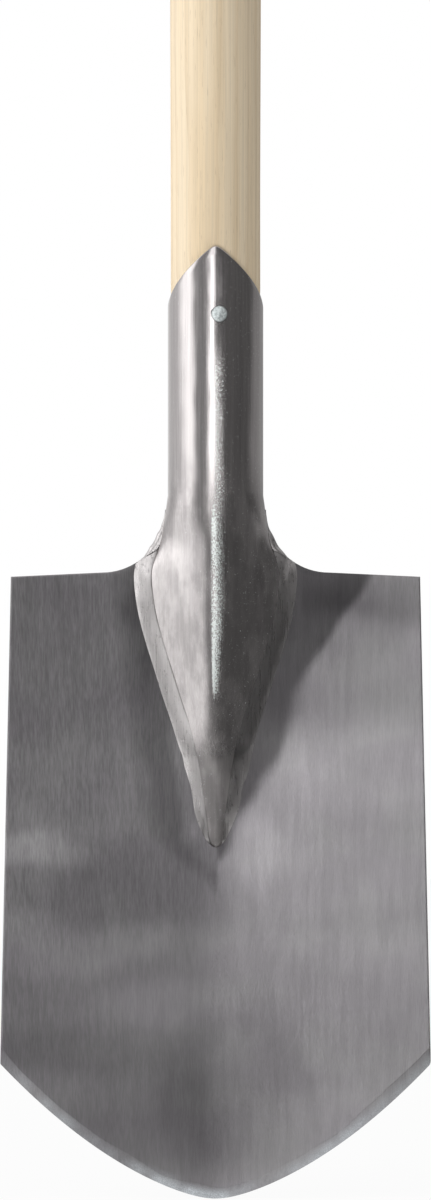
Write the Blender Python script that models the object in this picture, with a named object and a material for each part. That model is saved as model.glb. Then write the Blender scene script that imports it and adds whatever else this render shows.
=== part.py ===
"""Clay spade: a pressed blade, a split socket welded to it, an ash shaft and a T-grip.

Metres, +Z up. The shaft runs along Z and the blade's front faces -Y. The origin is the
middle of the crossbar, where the hand holds the spade. Inside each function heights are
measured up from the blade's tip, and the finished meshes hang from an empty at the tip.
"""

import math

import bmesh
import bpy

# Fits
clearance = 0.0003
socket_clearance = 0.00025

# Blade, seen from the front
blade_thickness = 0.0024
shoulder_height = 0.2625
shoulder_half_width = 0.0861
shoulder_fall = 0.0018
heel_half_width = 0.0901
heel_corner_radius = 0.003
neck_fillet_radius = 0.0265
neck_stand_out = 0.0011

# Cutting edge: a rounded V with a parabola added to it
edge_v_slope = 0.245
edge_nose_round = 0.0089
edge_bow_radius = 0.1106
ground_width = 0.0045
ground_edge_thickness = 0.0008

# Blade, seen from the side and from below: lifted, bowed, and creased down the middle
blade_lift = math.radians(5.0)
bow_depth = 0.005
crease_slope = 0.05
crease_round = 0.008

# Socket
socket_radius = 0.02015
socket_wall = 0.0016
slit_above_neck = 0.006
slit_flare = 0.004
mouth_above_slit = 0.0798
mouth_point_rise = 0.0248
mouth_point_sharpness = 0.985

# Straps below the slit, as distance below its top, half-width and height of the crown over
# the blade. The first station of each is the round tube itself.
front_strap_stations = (
    (0.017, 0.0226, 0.0189),
    (0.034, 0.0269, 0.0181),
    (0.044, 0.0260, 0.0173),
    (0.0805, 0.0161, 0.0124),
    (0.097, 0.0108, 0.0079),
    (0.112, 0.0073, 0.0034),
    (0.130, 0.0046, 0.0016),
    (0.148, 0.0025, 0.0009),
)
back_strap_stations = (
    (0.017, 0.0226, 0.0190),
    (0.034, 0.0258, 0.0182),
    (0.046, 0.0247, 0.0166),
    (0.075, 0.0155, 0.0106),
    (0.100, 0.0070, 0.0050),
    (0.120, 0.0025, 0.0021),
)
roof_whole = 0.034
ridge_round = 0.0050
ridge_stand_out = 0.0012
widest_ridge_share = 0.6
edge_height_whole = 0.060
edge_rise = 0.0030
most_edge_share = 0.42

# Fillet welds along the straps, and beads on the neck's edges
weld_leg = 0.0075
weld_toe = 0.0004
weld_start = 0.019
weld_run_out = 0.034
neck_bead_height = 0.0012
neck_bead_half_width = 0.0026
neck_bead_arc = math.radians(48.0)
neck_bead_end_fullness = 0.35

# Rivet through the socket and the shaft
rivet_above_slit = 0.076
rivet_offset = 0.0016
rivet_radius = 0.0025
rivet_head_radius = 0.00355
rivet_head_height = 0.0017

# Ash shaft
shaft_end_above_slit = 0.004
shaft_end_chamfer = 0.002
shaft_lip_rise = 0.0016
shaft_lip_run = 0.0064
shaft_mouth_radius = 0.01885
shaft_belly_radius = 0.0192
shaft_belly_above_mouth = 0.150
shaft_top_radius = 0.0168
shaft_taper_length = 0.260

# T-grip
grip_height = 1.090
crossbar_half_length = 0.0635
crossbar_boss_radius = 0.0200
crossbar_boss_half_length = 0.0200
crossbar_waist_radius = 0.0150
crossbar_waist_at = 0.0365
crossbar_knob_radius = 0.0172
crossbar_knob_at = 0.0525
crossbar_end_radius = 0.0080
tenon_radius = 0.0115
horn_cut_depth = 0.0130
wedge_depth = 0.022
wedge_top_thickness = 0.0030
wedge_end_thickness = 0.0010
grip_pin_radius = 0.0018
grip_pin_drop = 0.0090
grip_pin_stand_out = 0.0005

# Mesh fineness
socket_half_steps = 24
strap_rows = 19
strap_row_crowding = 1.35
round_steps = 2 * socket_half_steps
blade_rows = 12
small_round_steps = 24

# Places that follow from the sizes above
neck_top = shoulder_height + neck_fillet_radius
neck_half_width = socket_radius + neck_stand_out
slit_top = neck_top + slit_above_neck
mouth_side = slit_top + mouth_above_slit
mouth_point = mouth_side + mouth_point_rise
tenon_in_socket_radius = socket_radius - socket_wall - socket_clearance
rivet_height = slit_top + rivet_above_slit
rivet_seat = socket_radius + clearance
cope_radius = crossbar_boss_radius + clearance


def clamp(value, low=0.0, high=1.0):
    return min(max(value, low), high)


def ease(fraction):
    """A smooth step from 0 to 1."""
    fraction = clamp(fraction)
    return fraction * fraction * (3 - 2 * fraction)


def through(stations, at, which):
    """A smooth curve without overshoot through the stations' values number which."""
    places = [station[0] for station in stations]
    values = [station[which] for station in stations]
    at = clamp(at, places[0], places[-1])
    steps = [b - a for a, b in zip(places, places[1:])]
    slopes = [(b - a) / step for a, b, step in zip(values, values[1:], steps)]
    tangents = [slopes[0]]
    for before, after in zip(slopes, slopes[1:]):
        same_way = before * after > 0
        tangents.append(2 * before * after / (before + after) if same_way else 0.0)
    tangents.append(slopes[-1])
    span = max(i for i in range(len(steps)) if places[i] <= at)
    t = (at - places[span]) / steps[span]
    bend = steps[span] * t * (1 - t)
    straight = values[span] * (1 + 2 * t) * (1 - t) ** 2 + values[span + 1] * (3 - 2 * t) * t * t
    return straight + bend * ((1 - t) * tangents[span] - t * tangents[span + 1])


def material(name, colour, roughness, metallic=0.0):
    made = bpy.data.materials.new(name)
    made.use_nodes = True
    shader = made.node_tree.nodes["Principled BSDF"]
    shader.inputs["Base Color"].default_value = (*colour, 1.0)
    shader.inputs["Roughness"].default_value = roughness
    shader.inputs["Metallic"].default_value = metallic
    return made


def finished(bm, name, parent, look, smooth_angle=35.0):
    """A named object from a closed mesh, with its faces turned outwards."""
    bmesh.ops.recalc_face_normals(bm, faces=bm.faces[:])
    mesh = bpy.data.meshes.new(name)
    bm.to_mesh(mesh)
    bm.free()
    mesh.shade_smooth()
    mesh.set_sharp_from_angle(angle=math.radians(smooth_angle))
    mesh.materials.append(look)
    made = bpy.data.objects.new(name, mesh)
    bpy.context.collection.objects.link(made)
    made.parent = parent
    return made


def cutter(bm, name, parent):
    """A hidden solid that only shapes other pieces."""
    bmesh.ops.recalc_face_normals(bm, faces=bm.faces[:])
    mesh = bpy.data.meshes.new(name)
    bm.to_mesh(mesh)
    bm.free()
    made = bpy.data.objects.new(name, mesh)
    bpy.context.collection.objects.link(made)
    made.parent = parent
    made.hide_render = True
    made.display_type = "WIRE"
    return made


def shape_with(target, tool, operation="DIFFERENCE"):
    change = target.modifiers.new(f"{operation.lower()} {tool.name}", "BOOLEAN")
    change.operation = operation
    change.solver = "EXACT"
    change.object = tool


def quads(bm, grid, closed=False):
    """Faces over a grid of vertices, whose columns may close into a ring."""
    columns = len(grid[0])
    last = columns if closed else columns - 1
    for lower, upper in zip(grid, grid[1:]):
        for c in range(last):
            d = (c + 1) % columns
            bm.faces.new((lower[c], lower[d], upper[d], upper[c]))


def plate(bm, front, back):
    """A closed plate between two grids of points of the same size."""
    front = [[bm.verts.new(point) for point in row] for row in front]
    back = [[bm.verts.new(point) for point in row] for row in back]
    quads(bm, front)
    quads(bm, back)
    quads(bm, (front[0], back[0]))
    quads(bm, (front[-1], back[-1]))
    quads(bm, ([row[0] for row in front], [row[0] for row in back]))
    quads(bm, ([row[-1] for row in front], [row[-1] for row in back]))


def turned(profile, steps, first_step=0.0):
    """A solid turned about Z from (radius, height) points, with flat ends."""
    bm = bmesh.new()
    rings = []
    for radius, height in profile:
        angles = (math.tau * (k + first_step) / steps for k in range(steps))
        rings.append([bm.verts.new((radius * math.sin(a), -radius * math.cos(a), height)) for a in angles])
    quads(bm, rings, closed=True)
    bm.faces.new(rings[0])
    bm.faces.new(rings[-1])
    return bm


def blade_front(x, height):
    """Y of the blade's front face: it leans forward from the neck down, and its sides too."""
    lean = (neck_top - height) * math.tan(blade_lift)
    bow = bow_depth * (x / heel_half_width) ** 2
    crease = crease_slope * (math.hypot(x, crease_round) - crease_round)
    return -lean - bow - crease - blade_thickness / 2


def sharp_edge_height(x):
    """Height of the cutting edge at x: a V with a round nose, plus a parabola."""
    v = edge_v_slope * (math.hypot(x, edge_nose_round) - edge_nose_round)
    return v + x * x / (2 * edge_bow_radius)


def edge_height(x):
    """Height of the cutting edge at x, with its heel corners rounded."""
    corner_x = heel_half_width - heel_corner_radius
    past = abs(x) - corner_x
    height = sharp_edge_height(x)
    if past <= 0:
        return height
    corner_slope = edge_v_slope + corner_x / edge_bow_radius
    centre = sharp_edge_height(corner_x) + heel_corner_radius * math.hypot(1, corner_slope)
    rounded = centre - math.sqrt(max(heel_corner_radius**2 - past**2, 0.0))
    return max(height, rounded)


def shoulder_top(x):
    """Height of the blade's top edge: neck, fillet, then the slightly falling tread."""
    fillet_end = neck_half_width + neck_fillet_radius
    if abs(x) <= neck_half_width:
        return neck_top
    if abs(x) < fillet_end:
        return neck_top - math.sqrt(neck_fillet_radius**2 - (fillet_end - abs(x)) ** 2)
    tread = (abs(x) - fillet_end) / (shoulder_half_width - fillet_end)
    return shoulder_height - shoulder_fall * tread


def blade_columns():
    """Places across the blade as shares of its half-width, denser where its outline bends."""
    neck_steps, fillet_steps, tread_steps, corner_steps = 4, 7, 5, 4
    fillet_end = neck_half_width + neck_fillet_radius
    right = [neck_half_width * k / neck_steps for k in range(neck_steps)]
    for k in range(fillet_steps):
        turn = math.pi / 2 * k / fillet_steps
        right.append(neck_half_width + neck_fillet_radius * (1 - math.cos(turn)))
    corner_start = shoulder_half_width * (1 - heel_corner_radius / heel_half_width)
    for k in range(tread_steps):
        right.append(fillet_end + (corner_start - fillet_end) * k / tread_steps)
    for k in range(corner_steps + 1):
        turn = math.pi / 2 * k / corner_steps
        right.append(corner_start + (shoulder_half_width - corner_start) * math.sin(turn))
    shares = [x / shoulder_half_width for x in right]
    return [-share for share in reversed(shares[1:])] + shares


def make_blade(parent, look):
    front, back = [], []
    for row in range(-1, blade_rows + 1):
        front_row, back_row = [], []
        for share in blade_columns():
            edge_x = share * heel_half_width
            top_x = share * shoulder_half_width
            low = edge_height(edge_x)
            slope = edge_v_slope + abs(edge_x) / edge_bow_radius
            ground = low + ground_width * math.hypot(1, slope)
            up = max(row, 0) / blade_rows
            height = low if row < 0 else ground + (shoulder_top(top_x) - ground) * up
            x = edge_x + (top_x - edge_x) * (height - low) / (shoulder_top(top_x) - low)
            y = blade_front(x, height)
            thinned = blade_thickness - ground_edge_thickness if row < 0 else 0.0
            front_row.append((x, y + thinned, height))
            back_row.append((x, y + blade_thickness, height))
        front.append(front_row)
        back.append(back_row)
    bm = bmesh.new()
    plate(bm, front, back)
    return finished(bm, "blade", parent, look)


def seat(side, x, height):
    """How far before (side -1) or behind (side 1) the axis a strap meets the blade.

    It opens from nothing at the top of the slit to the blade's face and a clearance."""
    opening = clamp((slit_top - height) / slit_flare)
    face = blade_front(x, height) + (blade_thickness if side > 0 else 0.0)
    return opening * (side * face + clearance)


def strap_stations(side):
    named = back_strap_stations if side > 0 else front_strap_stations
    return ((0.0, socket_radius, socket_radius),) + named


def strap_half_width(side, height):
    return through(strap_stations(side), slit_top - height, 1)


def strap_crown(side, height):
    """How high a strap's ridge stands over the blade.

    At the slit's top it counts from the axis, and further down it may stand a little out of
    line with the tube."""
    drop = slit_top - height
    in_line = socket_radius + ridge_stand_out * ease(drop / roof_whole) - seat(side, 0.0, height)
    return min(through(strap_stations(side), drop, 2), in_line)


def strap_edge_height(side, height):
    """How high a strap's outer edge stands over the blade."""
    share = ease((slit_top - height) / edge_height_whole)
    return min(edge_rise, most_edge_share * strap_crown(side, height)) * share


def strap_point(side, height, angle, inner):
    """A point on a strap's outer or inner skin, at an angle from its ridge.

    The section is round at the slit's top and turns into a roof with a rounded ridge. The
    wall thins out where the strap ends."""
    roof = ease((slit_top - height) / roof_whole)
    across = math.sin(angle)
    half_width = strap_half_width(side, height)
    rounding = min(ridge_round / half_width, widest_ridge_share)
    peak = math.hypot(1, rounding) - rounding
    slope = 1 - (math.hypot(across, rounding) - rounding) / peak
    shape = (1 - roof) * math.cos(angle) + roof * slope
    crown = strap_crown(side, height)
    lip = strap_edge_height(side, height)
    if inner:
        half_width -= socket_wall * (1 - roof / 2)
        crown = max(crown - socket_wall, 0.0)
        lip = 0.0
    x = half_width * across
    depth = seat(side, x, height) + lip + (crown - lip) * shape
    return (x, side * depth, height)


def mouth_height(angle):
    """The socket's mouth rises to a point at the front and the back."""
    wave = math.asin(mouth_point_sharpness * math.cos(2 * angle))
    share = 0.5 + 0.5 * wave / math.asin(mouth_point_sharpness)
    return mouth_side + mouth_point_rise * share


def tube_point(side, angle, radius, height):
    return (radius * math.sin(angle), side * radius * math.cos(angle), height)


def strap_heights(side):
    """Row heights from the slit's flare to the strap's end, closer together at the top."""
    start = slit_top - slit_flare
    end = slit_top - strap_stations(side)[-1][0]
    shares = [(k / strap_rows) ** strap_row_crowding for k in range(strap_rows + 1)]
    return [start + (end - start) * share for share in shares]


def half_socket(bm, side):
    """The front or back half of the socket, open along its seams down to the slit."""
    angles = [math.pi * (k / socket_half_steps - 0.5) for k in range(socket_half_steps + 1)]
    skins = []
    for inner in (False, True):
        radius = socket_radius - socket_wall if inner else socket_radius
        rows = [[tube_point(side, a, radius, mouth_height(a)) for a in angles]]
        rows.append([tube_point(side, a, radius, mouth_side - mouth_point_rise) for a in angles])
        rows.append([tube_point(side, a, radius, slit_top) for a in angles])
        slit_row = len(rows) - 1
        for height in strap_heights(side):
            rows.append([strap_point(side, height, a, inner) for a in angles])
        skins.append([[bm.verts.new(point) for point in row] for row in rows])
    outer, inner = skins
    quads(bm, outer)
    quads(bm, inner)
    quads(bm, (outer[0], inner[0]))
    quads(bm, (outer[-1], inner[-1]))
    for column in (0, -1):
        quads(bm, ([row[column] for row in outer[slit_row:]], [row[column] for row in inner[slit_row:]]))


def make_socket(parent, look, rivet_hole):
    bm = bmesh.new()
    half_socket(bm, -1)
    half_socket(bm, 1)
    bmesh.ops.remove_doubles(bm, verts=bm.verts[:], dist=1e-7)
    made = finished(bm, "socket", parent, look)
    shape_with(made, rivet_hole)
    return made


def make_strap_weld(side, hand, name, parent, look):
    """A fillet weld in the corner between a strap's edge and the blade, ground to a ramp.

    It narrows to nothing at the strap's end."""
    roots, caps = [], []
    strap_end = strap_heights(side)[-1]
    for height in strap_heights(side):
        if height > slit_top - weld_start:
            continue
        root_x = strap_half_width(side, height) + clearance
        left_over = 1 - clamp((height - strap_end) / weld_run_out)
        leg = weld_leg * (1 - left_over**2)
        if height > shoulder_height:
            reach = neck_top - height
            outline = neck_half_width + neck_fillet_radius - math.sqrt(neck_fillet_radius**2 - reach**2)
            leg = min(leg, outline - root_x - 2 * clearance)
        lip = max(strap_edge_height(side, height), 2 * weld_toe)
        toe_x = root_x + max(leg, weld_toe)
        bottom = [(x, seat(side, x, height)) for x in (root_x, toe_x)]
        top = [(root_x, bottom[0][1] + lip), (toe_x, bottom[1][1] + weld_toe)]
        roots.append([(hand * x, side * depth, height) for x, depth in bottom])
        caps.append([(hand * x, side * depth, height) for x, depth in top])
    bm = bmesh.new()
    plate(bm, caps, roots)
    return finished(bm, name, parent, look)


def make_neck_weld(hand, name, parent, look):
    """A bead along the edge of the blade's neck, where it leaves the slit."""
    bead_steps, section_steps = 10, 6
    grid = []
    for k in range(bead_steps + 1):
        along = k / bead_steps
        turn = neck_bead_arc * along
        fullness = neck_bead_end_fullness + (1 - neck_bead_end_fullness) * math.sin(math.pi * along)
        row = []
        for m in range(section_steps + 1):
            lean = math.pi * m / section_steps
            out = clearance + neck_bead_height * fullness * math.sin(lean)
            x = neck_half_width + neck_fillet_radius * (1 - math.cos(turn)) + out * math.cos(turn)
            height = neck_top - neck_fillet_radius * math.sin(turn) + out * math.sin(turn)
            middle = blade_front(x, height) + blade_thickness / 2
            row.append((hand * x, middle - neck_bead_half_width * math.cos(lean), height))
        grid.append(row)
    bm = bmesh.new()
    rings = [[bm.verts.new(point) for point in row] for row in grid]
    quads(bm, rings, closed=True)
    bm.faces.new(rings[0])
    bm.faces.new(rings[-1])
    return finished(bm, name, parent, look)


def make_rivet(parent, look):
    """One rivet along Y, hammered over at both ends."""
    dome = [(0.25, 1.0), (0.62, 0.86), (0.90, 0.52), (1.0, 0.12), (0.97, 0.0)]
    head = [(rivet_head_radius * r, rivet_seat + rivet_head_height * h) for r, h in dome]
    profile = [(radius, -out) for radius, out in head]
    profile += [(rivet_radius, -rivet_seat), (rivet_radius, rivet_seat)]
    profile += list(reversed(head))
    made = finished(turned(profile, small_round_steps), "socket_rivet", parent, look, 50.0)
    made.rotation_euler = (math.pi / 2, 0.0, 0.0)
    made.location = (rivet_offset, 0.0, rivet_height)
    return made


def cross_hole(name, radius, half_length, x, height, parent):
    """A round cutter along Y."""
    made = cutter(turned([(radius, -half_length), (radius, half_length)], small_round_steps), name, parent)
    made.rotation_euler = (math.pi / 2, 0.0, 0.0)
    made.location = (x, 0.0, height)
    return made


def upright_cutter(name, radius, parent):
    """A round cutter along Z, taller than the crossbar."""
    profile = [(radius, -2 * crossbar_boss_radius), (radius, 2 * crossbar_boss_radius)]
    return cutter(turned(profile, round_steps, 0.5), name, parent)


def boss_top(y):
    """Height of the crossbar's round top over its axis at y."""
    return math.sqrt(max(crossbar_boss_radius**2 - y * y, 0.0))


def ladder_cap(bm, ring):
    """Closes a ring that is level along X with flat strips between points of equal Y."""
    half = len(ring) // 2
    for k in range(half):
        corners = (ring[k], ring[k + 1], ring[-k - 1], ring[-k])
        bm.faces.new(dict.fromkeys(corners))


def make_shaft(parent, look, cutters):
    """The ash shaft: its tenon fills the socket, and the wood stands proud above the mouth.

    Its upper tenon goes through the crossbar and is dressed flush with the round top."""
    horn_top = grip_height - horn_cut_depth
    taper_start = grip_height - shaft_taper_length
    end = slit_top + shaft_end_above_slit
    belly = mouth_point + shaft_belly_above_mouth
    # Each ring: height, radius, and whether it follows the mouth's rise
    rings = [
        (end, tenon_in_socket_radius - shaft_end_chamfer, False),
        (end + shaft_end_chamfer, tenon_in_socket_radius, False),
        (mouth_side + clearance, tenon_in_socket_radius, True),
        (mouth_side + shaft_lip_rise, shaft_mouth_radius, True),
        (mouth_point + shaft_lip_run, shaft_mouth_radius, False),
        (belly, shaft_belly_radius, False),
        (taper_start, shaft_belly_radius, False),
        (horn_top, shaft_top_radius, False),
        (horn_top, tenon_radius, False),
    ]
    angles = [math.tau * k / round_steps for k in range(round_steps)]
    bm = bmesh.new()
    grid = []
    for height, radius, follows in rings:
        row = []
        for angle in angles:
            rise = mouth_height(angle) - mouth_side if follows else 0.0
            row.append(bm.verts.new(tube_point(-1, angle, radius, height + rise)))
        grid.append(row)
    top = []
    for angle in angles:
        x, y, _ = tube_point(-1, angle, tenon_radius, 0.0)
        top.append(bm.verts.new((x, y, grip_height + boss_top(y))))
    quads(bm, grid + [top], closed=True)
    bm.faces.new(grid[0])
    ladder_cap(bm, top)
    made = finished(bm, "handle_shaft", parent, look)
    for name in ("cope", "rivet", "pin", "wedge"):
        shape_with(made, cutters[name])
    return made


def wedge_body(half_width, margin, top_extra):
    """The wedge, or with a margin its slot: thin in X, broad in Y, thick end up."""
    strips = 8
    point = crossbar_boss_radius - wedge_depth
    taper = (wedge_top_thickness - wedge_end_thickness) / 2 / wedge_depth
    front, back = [], []
    for k in range(strips + 1):
        y = half_width * (2 * k / strips - 1)
        high = boss_top(min(abs(y), tenon_radius)) + top_extra
        thin = wedge_end_thickness / 2 + margin
        thick = thin + taper * (high - point)
        front.append([(-thin, y, point - margin), (-thick, y, high)])
        back.append([(thin, y, point - margin), (thick, y, high)])
    bm = bmesh.new()
    plate(bm, front, back)
    return bm


def make_crossbar(parent, look, cutters):
    """The turned crossbar, bored for the shaft's tenon and the pin."""
    shape = (
        (crossbar_boss_half_length, crossbar_boss_radius),
        (crossbar_waist_at, crossbar_waist_radius),
        (crossbar_knob_at, crossbar_knob_radius),
        (crossbar_half_length, crossbar_end_radius),
    )
    belly_steps, end_steps = 8, 4
    right = []
    for k in range(belly_steps + 1):
        x = crossbar_boss_half_length + (crossbar_knob_at - crossbar_boss_half_length) * k / belly_steps
        right.append((x, through(shape[:3], x, 1)))
    for k in range(1, end_steps + 1):
        turn = math.pi / 2 * k / end_steps
        x = crossbar_knob_at + (crossbar_half_length - crossbar_knob_at) * math.sin(turn)
        radius = crossbar_end_radius + (crossbar_knob_radius - crossbar_end_radius) * math.cos(turn)
        right.append((x, radius))
    profile = [(radius, -x) for x, radius in reversed(right)] + [(radius, x) for x, radius in right]
    made = finished(turned(profile, round_steps), "grip_crossbar", parent, look)
    made.rotation_euler = (0.0, math.pi / 2, 0.0)
    shape_with(made, cutters["bore"])
    shape_with(made, cutters["pin"])
    return made


def make_grip_pin(parent, look):
    half_length = boss_top(grip_pin_drop) + grip_pin_stand_out
    chamfer = grip_pin_stand_out / 2
    profile = [
        (grip_pin_radius - chamfer, -half_length),
        (grip_pin_radius, -half_length + chamfer),
        (grip_pin_radius, half_length - chamfer),
        (grip_pin_radius - chamfer, half_length),
    ]
    made = finished(turned(profile, small_round_steps), "grip_pin", parent, look, 50.0)
    made.rotation_euler = (math.pi / 2, 0.0, 0.0)
    made.location = (0.0, 0.0, -grip_pin_drop)
    return made


def build():
    for old in list(bpy.data.objects):
        bpy.data.objects.remove(old, do_unlink=True)

    grip = bpy.data.objects.new("grip_centre", None)
    bpy.context.collection.objects.link(grip)
    tip = bpy.data.objects.new("blade_tip", None)
    bpy.context.collection.objects.link(tip)
    tip.parent = grip
    tip.location = (0.0, 0.0, -grip_height)

    ground_steel = material("ground_steel", (0.24, 0.23, 0.24), 0.38, 1.0)
    socket_steel = material("socket_steel", (0.42, 0.40, 0.40), 0.30, 1.0)
    weld_steel = material("weld_steel", (0.50, 0.48, 0.47), 0.42, 1.0)
    rivet_steel = material("rivet_steel", (0.60, 0.62, 0.63), 0.35, 1.0)
    ash = material("ash", (0.72, 0.60, 0.43), 0.62)
    wedge_wood = material("wedge_wood", (0.42, 0.27, 0.15), 0.65)

    make_blade(tip, ground_steel)
    socket_half = socket_radius + rivet_head_height
    rivet_hole = cross_hole(
        "rivet_hole", rivet_radius + clearance, socket_half, rivet_offset, rivet_height, tip
    )
    make_socket(tip, socket_steel, rivet_hole)
    make_rivet(tip, rivet_steel)
    for side, side_name in ((-1, "front"), (1, "back")):
        for hand, hand_name in ((-1, "left"), (1, "right")):
            make_strap_weld(side, hand, f"{side_name}_weld_{hand_name}", tip, weld_steel)
    make_neck_weld(-1, "neck_weld_left", tip, weld_steel)
    make_neck_weld(1, "neck_weld_right", tip, weld_steel)

    core = upright_cutter("tenon_core", tenon_radius + clearance, grip)
    cope = [(cope_radius, -cope_radius), (cope_radius, cope_radius)]
    cope_cutter = cutter(turned(cope, round_steps, 0.5), "cope_shape", grip)
    cope_cutter.rotation_euler = (0.0, math.pi / 2, 0.0)
    shape_with(cope_cutter, core)
    slot = wedge_body(tenon_radius + clearance, clearance, wedge_depth)
    cutters = {
        "rivet": rivet_hole,
        "bore": upright_cutter("tenon_bore", tenon_radius + 2 * clearance, grip),
        "cope": cope_cutter,
        "wedge": cutter(slot, "wedge_slot", grip),
        "pin": cross_hole(
            "pin_hole", grip_pin_radius + clearance, 2 * crossbar_boss_radius, 0.0, -grip_pin_drop, grip
        ),
    }
    make_shaft(tip, ash, cutters)
    make_crossbar(grip, ash, cutters)
    wedge_half_width = tenon_radius - wedge_top_thickness / 4
    finished(wedge_body(wedge_half_width, 0.0, 0.0), "grip_wedge", grip, wedge_wood)
    make_grip_pin(grip, rivet_steel)


build()
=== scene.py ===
"""Clay spade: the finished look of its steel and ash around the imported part.

Metres, +Z up, in the part's own frame: the origin is the middle of the crossbar and the
blade's front faces -Y. Inside the shape functions heights are measured up from the tip.
"""

import math

import bmesh
import bpy
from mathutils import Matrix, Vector, noise


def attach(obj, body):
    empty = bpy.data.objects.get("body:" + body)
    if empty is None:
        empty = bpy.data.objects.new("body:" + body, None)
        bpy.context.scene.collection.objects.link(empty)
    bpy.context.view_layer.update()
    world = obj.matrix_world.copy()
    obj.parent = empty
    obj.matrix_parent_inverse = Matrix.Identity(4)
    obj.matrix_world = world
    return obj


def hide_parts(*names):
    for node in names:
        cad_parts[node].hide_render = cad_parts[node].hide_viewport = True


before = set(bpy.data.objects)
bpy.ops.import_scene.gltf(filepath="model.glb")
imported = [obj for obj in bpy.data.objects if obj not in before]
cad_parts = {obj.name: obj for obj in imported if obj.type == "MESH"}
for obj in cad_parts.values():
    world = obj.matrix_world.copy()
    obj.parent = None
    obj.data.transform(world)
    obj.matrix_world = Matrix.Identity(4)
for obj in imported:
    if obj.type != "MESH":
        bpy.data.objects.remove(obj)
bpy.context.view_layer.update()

# Blade, seen from the front
grip_height = 1.090
blade_thickness = 0.0024
shoulder_height = 0.2625
shoulder_half_width = 0.0861
shoulder_fall = 0.0018
heel_half_width = 0.0901
left_heel_corner_radius = 0.0010
right_heel_corner_radius = 0.003
neck_fillet_radius = 0.0265
neck_stand_out = 0.0011
edge_v_slope = 0.245
edge_nose_round = 0.0089
edge_bow_radius = 0.1106
ground_width = 0.0045
ground_width_wander = 0.22
ground_wander_length = 0.016
ground_edge_thickness = 0.0008
rim_round = 0.0006

# Blade, seen from the side and from below: lifted, bowed, and creased down the middle
blade_lift = math.radians(5.0)
bow_depth = 0.005
crease_slope = 0.05
crease_round = 0.008
ripple_height = 0.00022
ripple_length = 0.055
quick_ripples_per_slow = 2.3
quick_ripple_share = 0.3

# Socket and its straps
socket_radius = 0.02015
socket_wall = 0.0016
slit_above_neck = 0.006
slit_flare = 0.004
mouth_above_slit = 0.0798
mouth_point_rise = 0.0248
mouth_point_sharpness = 0.985
mouth_edge_round = 0.0005
front_strap_stations = (
    (0.017, 0.0226, 0.0189),
    (0.034, 0.0269, 0.0181),
    (0.044, 0.0260, 0.0173),
    (0.0805, 0.0161, 0.0124),
    (0.097, 0.0108, 0.0079),
    (0.112, 0.0073, 0.0034),
    (0.130, 0.0046, 0.0016),
    (0.148, 0.0025, 0.0009),
)
back_strap_stations = (
    (0.017, 0.0226, 0.0190),
    (0.034, 0.0258, 0.0182),
    (0.046, 0.0247, 0.0166),
    (0.075, 0.0155, 0.0106),
    (0.100, 0.0070, 0.0050),
    (0.120, 0.0025, 0.0021),
)
roof_whole = 0.034
ridge_round = 0.0050
ridge_stand_out = 0.0012
widest_ridge_share = 0.6
edge_height_whole = 0.060
edge_rise = 0.0030
most_edge_share = 0.42
strap_nose = 0.004
least_nose_share = 0.002
forging_height = 0.00007
forging_length = 0.016
forging_flow = 0.009

# Towards the side seams the forging doesn't flow: the sine it ends from, and its fade
side_seam_start = (0.94, 0.05)

# Welds
weld_leg = 0.0075
weld_toe = 0.0004
weld_start = 0.019
weld_run_out = 0.034
weld_lump_height = 0.00022
weld_lump_length = 0.0045
weld_ramp_power = 1.25
smooth_weld_share = 0.3
neck_bead_cover = 0.0008
neck_bead_root = 0.0008
neck_bead_arc = math.radians(48.0)
neck_bead_end_fullness = 0.1
neck_bead_heights = {-1: 0.0012, 1: 0.0005}
neck_bead_lumps = {-1: (0.0002, 0.0038), 1: (0.0006, 0.0110)}

# Rivet
rivet_above_slit = 0.076
rivet_offset = 0.0016
rivet_head_radius = 0.00355
rivet_head_height = 0.0017
head_rim_share = 0.08
head_dome_share = 0.8
head_dome_power = 3.2
head_rim_wander = 0.07
head_rim_wander_length = 0.9
hammer_mark_depth = 0.00026
hammer_mark_length = 0.0026

# Ash shaft and T-grip
shaft_end_above_slit = 0.004
shaft_core_in_boss = 0.001
shaft_foot_bevel = 0.002
shaft_lip_rise = 0.0016
shaft_lip_run = 0.0064
shaft_lip_drop = 0.0006
shaft_mouth_radius = 0.01885
shaft_belly_radius = 0.0192
shaft_belly_above_mouth = 0.150
shaft_top_radius = 0.0168
shaft_taper_length = 0.260
wood_ripple_height = 0.00006
wood_flat_width = 0.35
wood_ripple_pace = 2.5
turned_ripple_share = 0.6
turned_ripple_pace = 3
crossbar_half_length = 0.0635
crossbar_boss_radius = 0.0200
crossbar_boss_half_length = 0.0200
crossbar_waist_radius = 0.0150
crossbar_waist_at = 0.0365
crossbar_knob_radius = 0.0172
crossbar_knob_at = 0.0525
crossbar_end_radius = 0.0080
crossbar_end_dome = 0.0002
tenon_radius = 0.0115
tenon_stand_out = 0.00008
horn_cut_depth = 0.0130
horn_edge_drop = 0.0012
horn_edge_inset = 0.0008
horn_height = 0.004
wedge_top_thickness = 0.0030
wedge_stand_out = 0.0003
wedge_wander_share = 0.15
wedge_wander_length = 0.006
grip_pin_radius = 0.0018
grip_pin_drop = 0.0090
grip_pin_stand_out = 0.0005

# How far pieces that touch are sunk into each other, or set clear
hair = 0.0001

# Places that follow from the sizes above
neck_top = shoulder_height + neck_fillet_radius
neck_half_width = socket_radius + neck_stand_out
fillet_end = neck_half_width + neck_fillet_radius
slit_top = neck_top + slit_above_neck
mouth_side = slit_top + mouth_above_slit
mouth_point = mouth_side + mouth_point_rise
rivet_height = slit_top + rivet_above_slit
inner_radius = socket_radius - socket_wall

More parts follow.
